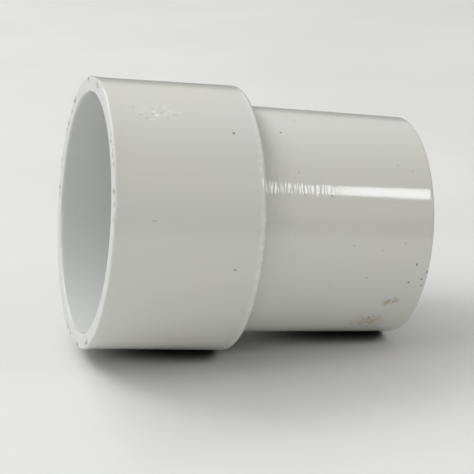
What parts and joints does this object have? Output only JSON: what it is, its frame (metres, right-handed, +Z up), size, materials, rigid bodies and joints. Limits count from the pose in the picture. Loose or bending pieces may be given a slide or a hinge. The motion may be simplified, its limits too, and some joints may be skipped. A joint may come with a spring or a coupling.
{
  "type": "concentric pipe reducer",
  "caption": "White plastic concentric reducer with a plain socket at one end, a square step and a slightly tapered spigot at the other.",
  "frame": {"origin": "middle of the reducer's length, on the run axis", "axes": "+X along the run axis from the socket mouth to the spigot end, +Z up with the reducer lying on its side"},
  "size_m": [0.0696, 0.0572, 0.0572],
  "materials": {
    "collar_pvc": "satin white, moulded PVC",
    "barrel_pvc": "glossy white, extruded PVC",
    "cement": "glossy, cured solvent cement"
  },
  "bodies": {
    "root": {"socket_collar": "collar_pvc", "spigot_barrel": "barrel_pvc", "solvent_cement": "cement"}
  },
  "joints": []
}
